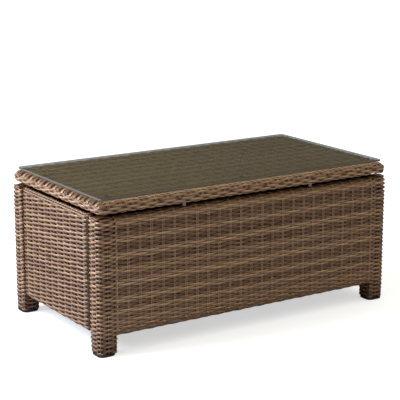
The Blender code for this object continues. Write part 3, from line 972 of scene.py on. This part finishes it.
def plain_look(name, colour, roughness, metallic):
    """A moulded or coated surface: slight tone change and a fine grain in colour, roughness and bump."""
    made, tree, shader = new_material(name)
    link = tree.links.new
    place = node(tree, "ShaderNodeTexCoord")
    noise = node(tree, "ShaderNodeTexNoise")
    noise.inputs["Scale"].default_value = GRAIN_SCALE
    noise.inputs["Detail"].default_value = GRAIN_DETAIL
    link(place.outputs["Object"], noise.inputs["Vector"])
    grain = noise.outputs["Fac"]
    dark, light = ([min(channel * shade, 1) for channel in colour] for shade in GRAIN_SHADES)
    link(ramp_of(tree, grain, ((0.0, dark), (1.0, light))), shader.inputs["Base Color"])
    least, most = roughness - GRAIN_ROUGHNESS, roughness + GRAIN_ROUGHNESS
    link(ranged(tree, grain, least, most), shader.inputs["Roughness"])
    link(bumped(tree, grain, GRAIN_BUMP, GRAIN_HEIGHT), shader.inputs["Normal"])
    shader.inputs["Metallic"].default_value = metallic
    return made


def see_through(name, colour, shadow, roughness):
    """A clear material with a tint that lets lamps through."""
    made, tree, shader = new_material(name)
    link = tree.links.new
    shader.inputs["Base Color"].default_value = (*colour, 1)
    shader.inputs["Roughness"].default_value = roughness
    shader.inputs["IOR"].default_value = CLEAR_IOR
    shader.inputs["Transmission Weight"].default_value = 1.0
    clear = node(tree, "ShaderNodeBsdfTransparent")
    clear.inputs["Color"].default_value = (*shadow, 1)
    path = node(tree, "ShaderNodeLightPath")
    mix = node(tree, "ShaderNodeMixShader")
    link(path.outputs["Is Shadow Ray"], mix.inputs[0])
    link(shader.outputs[0], mix.inputs[1])
    link(clear.outputs[0], mix.inputs[2])
    link(mix.outputs[0], tree.nodes["Material Output"].inputs["Surface"])
    return made


def paint_nodes():
    """Gives every carried-over CAD node its finish, and the glass a second one on its edge."""
    looks = {slot: plain_look(*values) for slot, values in PLAIN_LOOKS.items()}
    looks.update({slot: see_through(*values) for slot, values in CLEAR_LOOKS.items()})
    for part in frame["record"]["subparts"]:
        if part["material_slot"] not in looks:
            continue
        shown = NODES[part["node"]]
        shown.data.materials.clear()
        shown.data.materials.append(looks[part["material_slot"]])
        if part["material_slot"] == "tempered_glass":
            shown.data.materials.append(plain_look(*GLASS_EDGE_LOOK))
            for face in shown.data.polygons:
                face.material_index = int(abs(face.normal.z) < GLASS_EDGE_SLOPE)


# Studio


def seen_only(tree, output):
    """A light level that only the camera's own rays see."""
    path = node(tree, "ShaderNodeLightPath")
    made = node(tree, "ShaderNodeMath", operation="MULTIPLY")
    tree.links.new(path.outputs["Is Camera Ray"], made.inputs[0])
    made.inputs[1].default_value = output
    return made.outputs[0]


def build_floor():
    """A wide pale floor that the camera sees as white."""
    mesh = bpy.data.meshes.new("floor")
    square = [(x * FLOOR_REACH, y * FLOOR_REACH, 0) for x, y in ((-1, -1), (1, -1), (1, 1), (-1, 1))]
    mesh.from_pydata(square, [], [(0, 1, 2, 3)])
    floor = bpy.data.objects.new("floor", mesh)
    floor.location.z = cad_low[2]
    bpy.context.scene.collection.objects.link(floor)
    look, tree, shader = new_material("pale_floor")
    shader.inputs["Base Color"].default_value = (*FLOOR_TONE, 1)
    shader.inputs["Emission Color"].default_value = (1, 1, 1, 1)
    tree.links.new(seen_only(tree, FLOOR_GLOW), shader.inputs["Emission Strength"])
    shader.inputs["Roughness"].default_value = FLOOR_ROUGHNESS
    shader.inputs["Specular IOR Level"].default_value = 0.0
    mesh.materials.append(look)


def area_light(name, azimuth, elevation, distance, size, power, colour):
    """A square soft light that looks at the table. Azimuth 0 is in front, and 90 to the right."""
    turn = math.radians(azimuth)
    rise = math.radians(elevation)
    towards = Vector((math.sin(turn) * math.cos(rise), -math.cos(turn) * math.cos(rise), math.sin(rise)))
    data = bpy.data.lights.new(name, "AREA")
    data.shape = "SQUARE"
    data.size = size
    data.energy = power
    data.color = colour
    light = bpy.data.objects.new(name, data)
    light.location = towards * distance + Vector((0, 0, LAMP_AIM))
    light.rotation_mode = "QUATERNION"
    light.rotation_quaternion = towards.to_track_quat("Z", "Y")
    bpy.context.scene.collection.objects.link(light)


def build_lights():
    """A sky that is bright above and dark near the horizon, a soft key from the left and a little behind,
    and a weak fill from the front. The camera itself sees the sky as white."""
    world = bpy.data.worlds.new("studio")
    bpy.context.scene.world = world
    world.use_nodes = True
    tree = world.node_tree
    background = tree.nodes["Background"]
    background.inputs["Color"].default_value = (*SKY_COLOUR, 1)
    place = node(tree, "ShaderNodeTexCoord")
    parts = node(tree, "ShaderNodeSeparateXYZ")
    tree.links.new(place.outputs["Generated"], parts.inputs[0])
    start = math.sin(math.radians(SKY_START))
    full = math.sin(math.radians(SKY_FULL))
    sky = ranged(tree, parts.outputs["Z"], SKY_LOW, SKY_HIGH, start, full)
    level = node(tree, "ShaderNodeMath", operation="ADD")
    tree.links.new(sky, level.inputs[0])
    tree.links.new(seen_only(tree, BACKDROP_GLOW), level.inputs[1])
    tree.links.new(level.outputs[0], background.inputs["Strength"])
    area_light("key", KEY_AZIMUTH, KEY_ELEVATION, KEY_DISTANCE, KEY_SIZE, KEY_POWER, KEY_COLOUR)
    area_light("fill", FILL_AZIMUTH, FILL_ELEVATION, FILL_DISTANCE, FILL_SIZE, FILL_POWER, SKY_COLOUR)


def build_camera():
    """The camera at the viewing angle, aimed a little beside and above the table's middle."""
    azimuth = math.radians(CAMERA_AZIMUTH)
    elevation = math.radians(CAMERA_ELEVATION)
    level = math.cos(elevation)
    back = Vector((math.sin(azimuth) * level, -math.cos(azimuth) * level, math.sin(elevation)))
    right = Vector((math.cos(azimuth), math.sin(azimuth), 0.0))
    up = back.cross(right)
    data = bpy.data.cameras.new("camera")
    data.sensor_width = CAMERA_SENSOR
    data.lens = CAMERA_LENS
    camera = bpy.data.objects.new("camera", data)
    place = Vector((0, 0, AIM_HEIGHT)) + back * CAMERA_DISTANCE + right * AIM_RIGHT + up * AIM_UP
    camera.matrix_world = Matrix.Translation(place) @ Matrix((right, up, back)).transposed().to_4x4()
    bpy.context.scene.collection.objects.link(camera)
    bpy.context.scene.camera = camera


build_camera()
build_lights()
build_floor()
bpy.context.scene.view_settings.view_transform = "Standard"
paint_nodes()
wicker = woven_resin()
for side_name, side in SIDES:
    build_long_side(side_name, side, wicker)
    for end_name, end in ENDS:
        build_leg(side_name, side, end_name, end, wicker)
for end_name, end in ENDS:
    build_end(end_name, end, wicker)
build_lid_deck(wicker)
build_lid_border(wicker)
